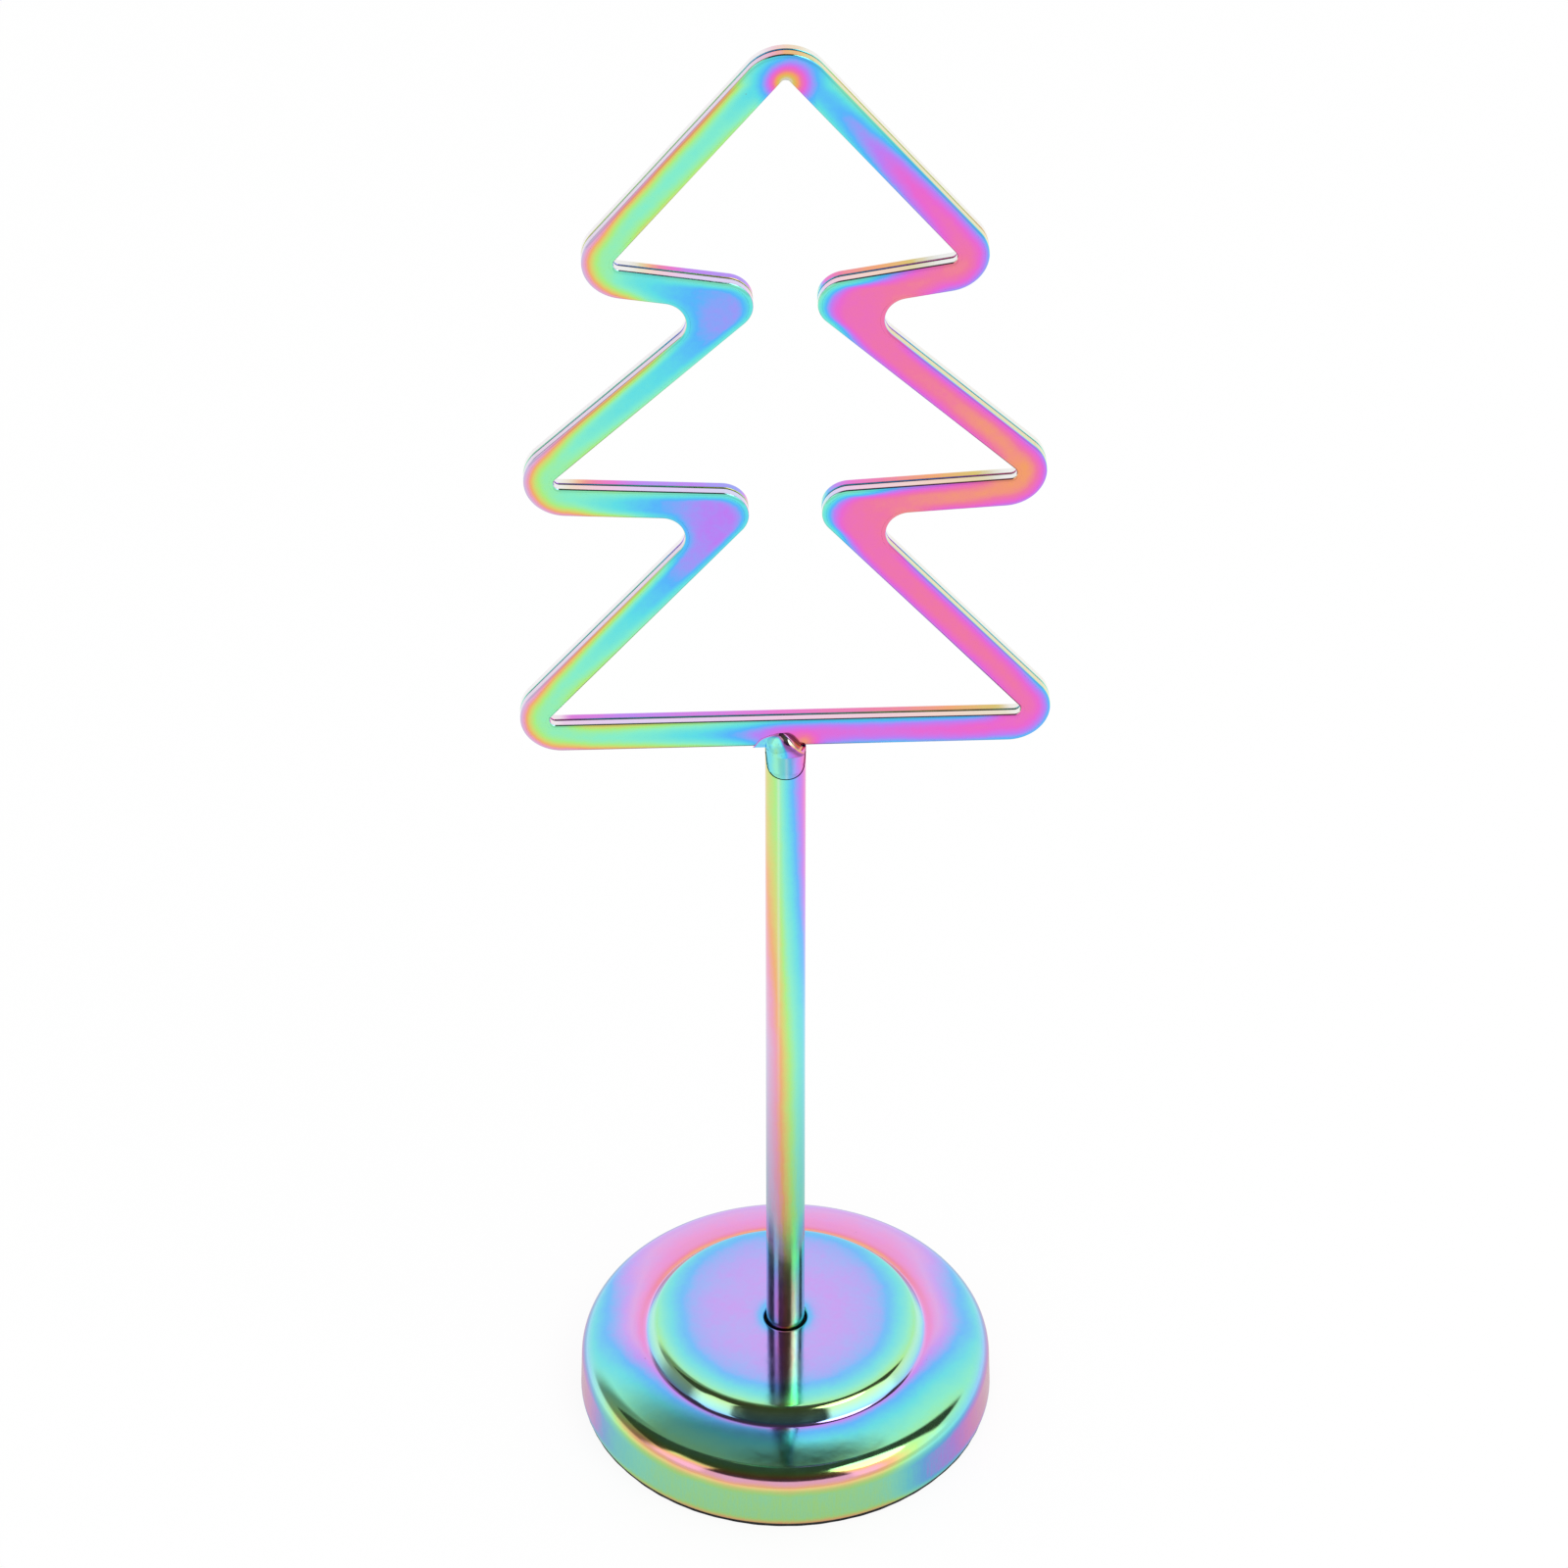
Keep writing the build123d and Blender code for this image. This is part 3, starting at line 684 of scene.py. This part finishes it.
def cover_looks(points):
    """Film on the cap: bands that follow the form, and that drift round it, with painted highlights,
    painted shade and painted reflections.
    """
    x, y, z = points.T
    radius = np.hypot(x, y)
    turn = np.degrees(np.arctan2(x, -y))
    facing = np.cos(np.radians(turn))
    rim = [(0, 0.42), (8, 0.415), (11, 0.435), (13, 0.47), (14.6, 0.54), (15.7, 0.61), (16.5, 0.68)]
    rim += [(16.9, 0.71), (17.4, 0.78)]
    riser_fall = [(16.9, 0.0), (17.4, -0.05), (17.8, -0.13), (18.1, -0.22), (18.4, -0.35)]
    to_side = smooth(facing, -0.8, -0.15)
    to_front = smooth(facing, -0.1, 0.65)
    # The bands on the plateau lie a little further in at the front and further out behind
    shift = 0.03 * np.maximum(facing, 0) + 0.17 * np.minimum(facing, 0)
    shifted = np.minimum(radius, PLATEAU_X) * (1 + shift)
    plateau = stops(shifted, rim)
    plateau = plateau + stops(radius, riser_fall) * (0.3 + 0.7 * to_side)
    halo = np.exp(-(radius - 2.9) ** 2) * smooth(np.abs(x), 0.5, 2.5)
    plateau = plateau + (0.52 - plateau) * 0.75 * halo
    front = [(18.4, 0.40), (18.7, 0.40), (19.1, 0.45), (19.9, 0.50), (20.9, 0.55), (22.3, 0.62), (24, 0.68)]
    front += [(26, 0.74)]
    side = [(18.4, 0.33), (18.8, 0.29), (19.6, 0.33), (21, 0.39), (22.5, 0.45), (24.2, 0.50), (25.4, 0.56)]
    side += [(26.3, 0.63)]
    back = [(18.4, 0.16), (18.8, 0.18), (19.4, 0.26), (21, 0.31), (23.5, 0.35), (26.2, 0.42)]
    flange = stops(radius, back) * (1 - to_side) + stops(radius, side) * to_side
    flange = flange * (1 - to_front) + stops(radius, front) * to_front
    around = [(-180, 0.30), (-110, 0.24), (-90, 0.27), (-76, 0.32), (-66, 0.45), (-57, 0.58), (-43, 0.68)]
    around += [(-20, 0.72), (0, 0.725), (18, 0.72), (28, 0.67), (34, 0.57), (40, 0.48), (50, 0.41)]
    around += [(62, 0.32), (76, 0.25), (100, 0.23), (180, 0.30)]
    skirt = stops(turn, around)
    drop = SHOULDER_Z - z
    skirt = skirt + stops(drop, [(0.3, 0.25), (0.8, 0.22), (1.3, 0.15), (1.8, 0.08), (2.6, 0.0)])
    skirt = skirt + 0.15 * np.exp(-((z - PAD_THICKNESS) / 0.6) ** 2)
    blend = smooth(radius, 18.25, 18.5)
    film = plateau * (1 - blend) + flange * blend
    over = smooth(drop, -0.35, 0.7) * smooth(radius, 22, 24)
    film = film * (1 - over) + skirt * over
    warm = np.clip(1 - np.abs(film - 0.36) / 0.13, 0, 1)
    pale_and_highlight = 0.10 + 0.22 * warm
    # Painted shade: the flange is less pale towards the front
    pale_and_highlight = np.where(radius > 18.6, pale_and_highlight * (1 - 0.6 * to_front), pale_and_highlight)
    # A painted highlight: a paler band round the riser
    pale_and_highlight = pale_and_highlight + 0.2 * smooth(radius, 16.9, 17.4) * smooth(radius, 18.5, 18.1)
    # The skirt is painted paler towards its sides, a painted highlight
    pale_and_highlight = pale_and_highlight * (1 - over) + (0.10 + 0.2 * smooth(np.abs(turn), 50, 80)) * over
    # Faint dark smudges on the front of the flange, painted reflections
    painted_reflection = np.zeros(len(x))
    for angle, reach, long, wide, dark in (
        (-6, 24.0, 5.0, 0.35, 0.22),
        (-10, 22.9, 3.5, 0.3, 0.16),
        (9, 23.4, 5.0, 0.4, 0.22),
        (19, 23.9, 5.5, 0.4, 0.22),
        (14, 22.6, 6.0, 0.3, 0.14),
        (27, 23.6, 4.0, 0.35, 0.16),
    ):
        bent = radius - reach - 0.5 * np.sin(turn / 2.7 + reach)
        painted_reflection += dark * np.exp(-((turn - angle) / long) ** 2 - (bent / wide) ** 2)
    # Painted shade inside the stem hole
    inside = (z < CROWN_Z - 0.5) & (radius < STEM_RADIUS + 0.5)
    painted_shade = painted_reflection * smooth(radius, 20, 22) + 0.5 * inside
    # Painted shade in a thin line at the foot of the skirt, where it meets the pad
    painted_shade = painted_shade + 0.35 * np.exp(-((z - PAD_THICKNESS) / 0.12) ** 2) * smooth(radius, 25, 26)
    grain = 0.8 * smooth(drop, 1.4, 3.0) * smooth(radius, 24, 26)
    return {"film": film, "pale_and_highlight": pale_and_highlight, "painted_shade": np.clip(painted_shade, 0, 1), "grain": grain, "wear": 0.04 * over}


# Stem
def rim_drop(angles):
    """How far below the seat the side of the stem ends in front, where the worn bevel begins."""
    shape = [(0, 3.22), (0.3, 3.2), (0.5, 3.13), (0.72, 2.95), (0.86, 2.62), (0.94, 2.1), (0.975, 1.6)]
    return stops(np.abs(np.cos(angles)), shape + [(1, 0.6)])


def seat_height(y):
    """The seat, which steps down in front to let the front plate move."""
    return SEAT_Z + FLEX_CLEARANCE * smooth(y, 1.2, 1.3)


def bevel_place(angles, drop):
    """Where the bevel's face stands at a given drop below the seat: a steep, slightly crowned face."""
    reach = 1.38 + 0.31 * np.clip(drop, 0, 3.2)
    x = (STEM_RADIUS - 0.1) * np.cos(angles)
    y = reach * np.sin(angles)
    return x, y


def stem_points():
    """Side, tapped lower end, bevel and seat of the stem, as separate patches to be merged."""
    around = 180
    half = around // 2
    angles = np.linspace(0, 2 * math.pi, around, endpoint=False)
    x, y = STEM_RADIUS * np.cos(angles), STEM_RADIUS * np.sin(angles)
    in_front = y < -1e-6
    top = np.where(in_front, SEAT_Z - rim_drop(angles), seat_height(y))
    top[0] = top[half] = SEAT_Z
    low = STEM_FOOT_Z + STEM_CHAMFER
    rows = []
    for share in np.linspace(0, 1, 260):
        rows.append(np.stack([x, y, low + (top - low) * share], -1))
    below = []
    for radius, z in (
        (STEM_RADIUS - STEM_CHAMFER, STEM_FOOT_Z),
        (TAP_RADIUS, STEM_FOOT_Z),
        (TAP_RADIUS, STEM_FOOT_Z + TAP_DEPTH * 0.5),
        (TAP_RADIUS, STEM_FOOT_Z + TAP_DEPTH),
        (0.5, STEM_FOOT_Z + TAP_DEPTH),
        (0.0, STEM_FOOT_Z + TAP_DEPTH),
    ):
        below.append(np.stack([radius * np.cos(angles), radius * np.sin(angles), np.full(around, z)], -1))
    rows = below[::-1] + rows
    points = [np.concatenate(rows)]
    faces = grid_faces(len(rows), around, False, True)
    # Seat behind, as a half disc
    grid = []
    chosen = np.arange(half + 1)
    for share in np.linspace(0, 1, 26):
        back_y = y[chosen] * share
        grid.append(np.stack([x[chosen], back_y, seat_height(back_y)], -1))
    faces += grid_faces(len(grid), half + 1, False, False, len(points[0]))
    points.append(np.concatenate(grid))
    # Worn bevel in front: a groove inside the rim, a steep face, then a ledge under the weld
    chosen = (half + np.arange(half + 1)) % around
    turned = angles[chosen]
    rim = np.stack([x[chosen], np.minimum(y[chosen], 0), top[chosen]], -1)
    drop = SEAT_Z - top[chosen]
    ends = np.abs(np.cos(turned)) > 0.9999
    grid = [rim]
    for inset, sink in ((0.03, -0.01), (0.07, 0.02), (0.11, 0.05)):
        shrink = 1 - inset / STEM_RADIUS
        grid.append(np.stack([rim[:, 0] * shrink, rim[:, 1] * shrink, rim[:, 2] - sink], -1))
    base = grid[-1]
    for share in np.linspace(0.03, 1, 30):
        level = drop * (1 - share)
        place_x, place_y = bevel_place(turned, level)
        # The face starts from the bottom of the groove
        blend = min(1.0, share / 0.12)
        place_x = base[:, 0] * (1 - blend) + place_x * blend
        place_y = np.minimum(base[:, 1] * (1 - blend) + place_y * blend, 0)
        grid.append(np.stack([place_x, place_y, SEAT_Z - level], -1))
    last = grid[-1]
    for share in (0.75, 0.5, 0.25, 0.0):
        grid.append(np.stack([last[:, 0], last[:, 1] * share, np.full(half + 1, SEAT_Z)], -1))
    grid = np.stack(grid)
    grid[:, ends] = grid[0, ends]
    grid[-1, :, 0] = x[chosen]
    offset = sum(len(p) for p in points)
    faces += grid_faces(len(grid), half + 1, False, False, offset)
    points.append(grid.reshape(-1, 3))
    return np.concatenate(points), faces


# Film across the bevel, from left to right
FACET_FILM = [(-2.5, 0.52), (-1.9, 0.56), (-1.25, 0.66), (-0.6, 0.60), (0.1, 0.53), (0.8, 0.46)]
FACET_FILM += [(1.5, 0.39), (2.1, 0.31), (2.5, 0.26)]


def stem_looks(points):
    """Film on the stem: thinner to the right, thicker towards the base, with painted highlights and painted
    shade in the groove round the bevel.
    """
    x, y, z = points.T
    around = np.arcsin(np.clip(x / STEM_RADIUS, -1, 1)) / (math.pi / 2)
    top = [(-1, 0.86), (-0.6, 0.79), (-0.27, 0.72), (-0.14, 0.66), (0, 0.57), (0.2, 0.485), (0.45, 0.40)]
    top += [(0.76, 0.30), (1, 0.24)]
    low = [(-1, 1.08), (-0.37, 0.95), (-0.17, 0.88), (0, 0.81), (0.17, 0.74), (0.43, 0.64), (0.74, 0.57)]
    low += [(1, 0.52)]
    height = smooth(z, 50, 106)
    side = stops(around, top) * height + (stops(around, low) + 0.06 * smooth(z, 50, 20)) * (1 - height)
    side = np.where(y > 0, side + 0.1 * y / STEM_RADIUS, side)
    # A thin painted highlight line down the front of the stem
    line = np.exp(-((around + 0.25) / 0.045) ** 2) * (y < 0) * smooth(z, 40, 80)
    radius = np.hypot(x, y)
    worn = (y < 0.02) & (z > SEAT_Z - 3.4)
    facet = worn & (radius < STEM_RADIUS - 0.05)
    bevel = stops(x, FACET_FILM)
    # A painted highlight streak down the middle of the bevel
    streak = np.exp(-((x - 0.05) / 0.2) ** 2)
    film = np.clip(np.where(facet, bevel, side), 0, FILM_END)
    pale_and_highlight = np.where(facet, 0.10 + 0.22 * streak, 0.06 + 0.25 * line)
    # Painted shade in the groove inside the bevel's rim
    rim = worn & (radius > STEM_RADIUS - 0.12) & (radius < STEM_RADIUS - 0.04)
    grain = 0.9 * smooth(z, 60, 30)
    return {"film": film, "pale_and_highlight": pale_and_highlight, "painted_shade": 0.7 * rim, "wear": 0.10 * facet, "grain": grain}


# Welds
def front_weld_points():
    """The weld in front: a thin web at the left that swells to a rounded bead at the right."""
    columns, rows = 96, 34
    plate_y = -0.02
    skin = 0.3
    across = np.linspace(-3.95, 2.4, columns)
    arch = [(-3.95, 0.02), (-3.6, 0.45), (-3.1, 1.1), (-2.5, 1.45), (-1.6, 1.82), (-0.5, 2.05)]
    arch += [(0.3, 1.78), (1.0, 1.22), (1.6, 0.5), (2.0, 0.0), (2.4, -0.4)]
    beads = [(-4, 0), (-1.4, 0.0), (-0.5, 0.5), (0.4, 1.0), (1.2, 1.25), (1.8, 1.0), (2.4, 0.3)]
    low_drops = [(-2.5, 0.3), (-1.5, 0.6), (0, 0.7), (1.4, 0.75), (2.4, 1.0)]
    fades = smooth(-across, STEM_RADIUS - 0.6, STEM_RADIUS + 0.5)
    rings = []
    for x, top, bead, low_drop, fade in zip(
        across, stops(across, arch), stops(across, beads), stops(across, low_drops), fades
    ):
        # The weld ends on the bevel, and beyond the stem on the underside of the plate
        low_y, low_z = -0.1, -0.06
        if abs(x) < STEM_RADIUS - 0.08:
            around = -math.acos(x / (STEM_RADIUS - 0.1)) if abs(x) < STEM_RADIUS - 0.1 else 0.0
            low_y, low_z = bevel_place(around, low_drop)[1] - 0.01, -low_drop
        low_y = min(low_y * (1 - fade) - 0.12 * fade, -0.08)
        low_z = min(low_z * (1 - fade) - 0.02 * fade, top - 0.02)
        # The front of each slice is a curve between two ends that two handles pull
        height = top - low_z
        reach = bead * abs(low_y)
        start, end = np.array([plate_y, top]), np.array([low_y, low_z])
        first_lift = 0.05 * bead - 0.25 * (1 - min(1, bead)) * height
        first = np.array([plate_y - 0.55 * reach - 0.02, top + first_lift])
        second = np.array([low_y - 0.25 * reach, low_z + (0.35 + 0.25 * bead) * height])
        front, back = [], []
        for t in np.linspace(0, 1, rows):
            a, b, c, d = (1 - t) ** 3, 3 * t * (1 - t) ** 2, 3 * t * t * (1 - t), t ** 3
            y, rise = a * start + b * first + c * second + d * end
            front.append((x, y, TREE_FOOT_Z + rise))
            back_y = plate_y if rise > 0 else max(y, min(plate_y, y + skin))
            back.append((x, back_y, TREE_FOOT_Z + rise))
        rings.append(front + back[-2:0:-1])
    rings = np.array(rings)
    return rings.reshape(-1, 3), tube_faces(columns, rings.shape[1])


def weld_looks(points):
    """Film on the weld: the bevel's colours at the left, then a deep purple sweep under a pale bead,
    painted as a dark reflection under a highlight.
    """
    x, y, z = points.T
    rise = z - TREE_FOOT_Z
    film = stops(x, FACET_FILM) - 0.06 * smooth(x, -1.5, 0.5)
    arch = [(-3.95, 0.02), (-3.1, 1.1), (-1.6, 1.82), (-0.5, 2.05), (0.3, 1.78), (1.0, 1.22)]
    under = stops(x, arch + [(1.6, 0.5), (2.4, -0.4)]) - rise
    bead = smooth(x, -0.9, 0.0)
    forward = smooth(-y, 0.0, 0.12)
    # The deep purple sweep is a painted dark reflection
    dark_reflection_sweep = smooth(x, -2.2, -0.8) * np.exp(-((under - 0.25 - 0.65 * bead) / (0.22 + 0.25 * bead)) ** 2)
    film = film + dark_reflection_sweep * (0.365 - film)
    # The glow is a painted highlight: near white, then yellow and orange along the bead
    glow = bead * forward * smooth(under, 0.62, 0.42)
    glow_film = stops(x, [(-0.5, 0.02), (0.4, 0.05), (1.0, 0.09), (1.7, 0.15), (2.4, 0.18)])
    film = film * (1 - glow) + glow_film * glow
    crest = (1 - bead) * smooth(under, 0.3, 0.1)
    film = film + crest * (0.31 - film) * 0.9
    # Painted shade: on the sweep, in a thin line along the top of the bead and a little on the crest
    painted_shade = 0.62 * dark_reflection_sweep * (1 - glow) + 0.75 * bead * smooth(under, 0.10, 0.04) + 0.1 * crest
    speckle = smooth(-x, -0.4, 0.4) * smooth(under, 0.3, 0.6)
    pale_and_highlight = glow * stops(x, [(-0.5, 0.8), (0.4, 0.5), (1.2, 0.2), (2.4, 0.1)]) + 0.1 * (1 - bead)
    return {"film": film, "pale_and_highlight": pale_and_highlight, "painted_shade": np.clip(painted_shade, 0, 1), "wear": 0.1 + 0.4 * speckle}


def rear_weld_points():
    """A small rippled ridge along the seam behind."""
    length, radius = 3.6, 0.53
    columns, around = 60, 24
    seam_y = 2 * PLATE_THICKNESS + CARD_GAP + 0.01
    angles = np.linspace(-math.pi / 2, math.pi / 2, around)
    rings = []
    for share in np.linspace(0, 1, columns):
        x = length * (share - 0.5)
        end = min(1.0, min(share, 1 - share) / 0.12)
        size = radius * math.sqrt(max(0.02, 1 - (1 - end) ** 2)) * (0.95 + 0.05 * math.sin(x * 14))
        places = [np.full(around, x), seam_y + size * np.cos(angles), TREE_FOOT_Z + size * np.sin(angles)]
        rings.append(np.stack(places, -1))
    return np.concatenate(rings), tube_faces(columns, around)


def pad_points():
    """The pad: a flat disc with a rounded lower rim that isn't quite even."""
    radius = BASE_DIAMETER / 2 - PAD_INSET / 2
    outline = [(x, PAD_THICKNESS) for x in (0.0, 8, 16, 24, radius - 0.1)]
    outline += [(radius - 0.02, PAD_THICKNESS - 0.04), (radius, PAD_THICKNESS - 0.15), (radius, 0.3)]
    for angle in np.linspace(0, math.pi / 2, 6):
        outline.append((radius - PAD_EDGE * (1 - math.cos(angle)), PAD_EDGE * (1 - math.sin(angle))))
    outline += [(x, 0) for x in (24, 16, 8, 0.0)]
    outline = np.array(outline)
    segments = 360
    angles = np.linspace(0, 2 * math.pi, segments, endpoint=False)
    uneven = 0.05 * np.sin(17 * angles + 1) * np.sin(5 * angles) + 0.03 * np.sin(61 * angles)
    shrink = np.where(outline[None, :, 0] > 25, 0.05 - 0.5 * uneven[:, None], 0)
    return lathe(outline, segments, False, shrink)


# Pieces
plated = film_material()
for name, (points, faces, looks), body, replaced, sharp_angle, merge in (
    ("front_tree", tree_plate(0.0, True), "front_plate", "front_tree_plate", 60, False),
    ("back_tree", tree_plate(PLATE_THICKNESS + CARD_GAP, False), "stem", "back_tree_plate", 60, False),
    ("base_cap", (*lathe(cover_outline(), 360), cover_looks), "base", "base_cover", 60, False),
    ("stem_rod", (*stem_points(), stem_looks), "stem", "stem", 30, True),
    ("weld_front", (*front_weld_points(), weld_looks), "stem", "front_weld", 50, True),
    ("weld_rear", (*rear_weld_points(), weld_looks), "stem", "rear_weld", 50, True),
):
    make_piece(name, points, faces, looks, plated, body, [replaced], sharp_angle, merge)
points, faces = pad_points()
rubber = rubber_material()
make_piece("base_foot_pad", points, faces, None, rubber, "base", ["base_pad"], 50, True)

iron, zinc = iron_material(), zinc_material()
for name, material in (
    ("base_weight", iron),
    ("stem_screw", zinc),
    ("spring_washer", zinc),
    ("flat_washer", zinc),
):
    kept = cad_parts[name]
    kept.data.materials.clear()
    kept.data.materials.append(material)


# Floor, world, light and camera
def add_floor():
    """A white floor, whose reflection in polished metal is a little shaded."""
    radius, z = 3.0, -0.00002
    angles = np.linspace(0, 2 * math.pi, 96, endpoint=False)
    rim = [(radius * math.cos(a), radius * math.sin(a), z) for a in angles]
    mesh = bpy.data.meshes.new("floor")
    mesh.from_pydata(rim, [], [list(range(len(rim)))])
    floor = bpy.data.objects.new("floor", mesh)
    bpy.context.scene.collection.objects.link(floor)
    material = bpy.data.materials.new("floor_white")
    material.use_nodes = True
    tree = material.node_tree
    tree.nodes.clear()
    path = node(tree, "ShaderNodeLightPath")
    seen = path.outputs["Is Camera Ray"]
    mirrored = path.outputs["Is Glossy Ray"]
    paper = node(tree, "ShaderNodeBsdfDiffuse", {"Color": (0.9, 0.9, 0.9, 1)})
    # The reflection fades towards the front of the table and close to the base
    place = node(tree, "ShaderNodeTexCoord").outputs["Object"]
    depth = node(tree, "ShaderNodeSeparateXYZ", {0: place}).outputs[1]
    distance = node(tree, "ShaderNodeVectorMath", {0: place}, operation="LENGTH").outputs["Value"]
    table_front = mapped(tree, depth, -0.75, -0.32, 0.78, 1.0)
    near_base = mapped(tree, distance, 0.027, 0.075, 0.66, 1.0)
    shade = product(tree, table_front, near_base, maths(tree, "SUBTRACT", 1.0, seen))
    strength = maths(tree, "ADD", shade, seen, clamp=True)
    glow = node(tree, "ShaderNodeEmission", {"Color": (1, 1, 1, 1), "Strength": strength})
    share = product(tree, maths(tree, "MAXIMUM", seen, mirrored), 0.9)
    blend = node(tree, "ShaderNodeMixShader", {0: share, 1: paper.outputs[0], 2: glow.outputs[0]})
    node(tree, "ShaderNodeOutputMaterial", {"Surface": blend.outputs[0]})
    mesh.materials.append(material)


def add_world():
    """A white studio, where polished metal mirrors a dark part with two softboxes in front and above."""
    world = bpy.data.worlds.new("studio")
    bpy.context.scene.world = world
    world.use_nodes = True
    tree = world.node_tree
    tree.nodes.clear()
    way = node(tree, "ShaderNodeTexCoord").outputs["Generated"]
    across, deep, up = node(tree, "ShaderNodeSeparateXYZ", {0: way}).outputs
    ahead = product(tree, deep, -1.0)
    turn = maths(tree, "ARCTAN2", across, ahead)

    def rising(value, low, high):
        return mapped(tree, value, low, high, 0.0, 1.0)

    def falling(value, low, high, top=1.0):
        return mapped(tree, value, low, high, top, 0.0)

    # The studio is dark from part way up to past straight above
    dark = product(tree, rising(up, 0.49, 0.58), rising(ahead, -0.365, -0.26))
    # At the left the dark reaches lower down
    left_dark = falling(turn, -1.42, -1.30, 0.75)
    left_dark = product(tree, left_dark, rising(up, 0.12, 0.30), rising(ahead, -0.60, -0.40))
    dark = maths(tree, "MAXIMUM", dark, left_dark)
    # The softboxes: a wide one at the right and a narrow, dimmer one at the left
    right_box = product(tree, rising(turn, 0.52, 0.62), falling(turn, 1.45, 1.60), falling(up, 0.76, 0.88))
    left_box = product(tree, rising(turn, -1.32, -1.22), falling(turn, -0.84, -0.76))
    left_box = product(tree, left_box, falling(up, 0.70, 0.82), 0.9)
    boxes = maths(tree, "ADD", right_box, left_box)
    boxes = product(tree, boxes, rising(up, 0.18, 0.34))
    dark = product(tree, dark, maths(tree, "SUBTRACT", 1.0, boxes), 0.94)
    overhead = mapped(tree, ahead, -0.2, 0.3, 0.98, 0.86)
    mirrored = maths(tree, "ADD", overhead, product(tree, boxes, 0.35))
    mirrored = product(tree, mirrored, maths(tree, "SUBTRACT", 1.0, dark))
    glossy = node(tree, "ShaderNodeLightPath").outputs["Is Glossy Ray"]
    strength = node(tree, "ShaderNodeMix", {0: glossy, 2: 1.0, 3: mirrored}, data_type="FLOAT").outputs[0]
    background = node(tree, "ShaderNodeBackground", {"Color": (1, 1, 1, 1), "Strength": strength})
    node(tree, "ShaderNodeOutputWorld", {"Surface": background.outputs[0]})


def add_lamp():
    data = bpy.data.lights.new("soft_key", "AREA")
    data.shape = "DISK"
    data.size = 0.6
    data.energy = 2.0
    lamp = bpy.data.objects.new("soft_key", data)
    lamp.location = (0.55, -0.35, 1.0)
    lamp.rotation_euler = (math.radians(20), math.radians(28), 0)
    bpy.context.scene.collection.objects.link(lamp)


def add_camera():
    looks_down, turned_left = 39.32, -2.24
    data = bpy.data.cameras.new("camera")
    data.sensor_width = 36.0
    data.lens = 149.5
    data.clip_start, data.clip_end = 0.01, 20.0
    camera = bpy.data.objects.new("camera", data)
    camera.location = (-0.0243, -0.6164, 0.6073)
    camera.rotation_euler = (math.radians(90 - looks_down), 0.0, math.radians(turned_left))
    bpy.context.scene.collection.objects.link(camera)
    bpy.context.scene.camera = camera


add_floor()
add_world()
add_lamp()
add_camera()
bpy.context.scene.view_settings.view_transform = "Standard"
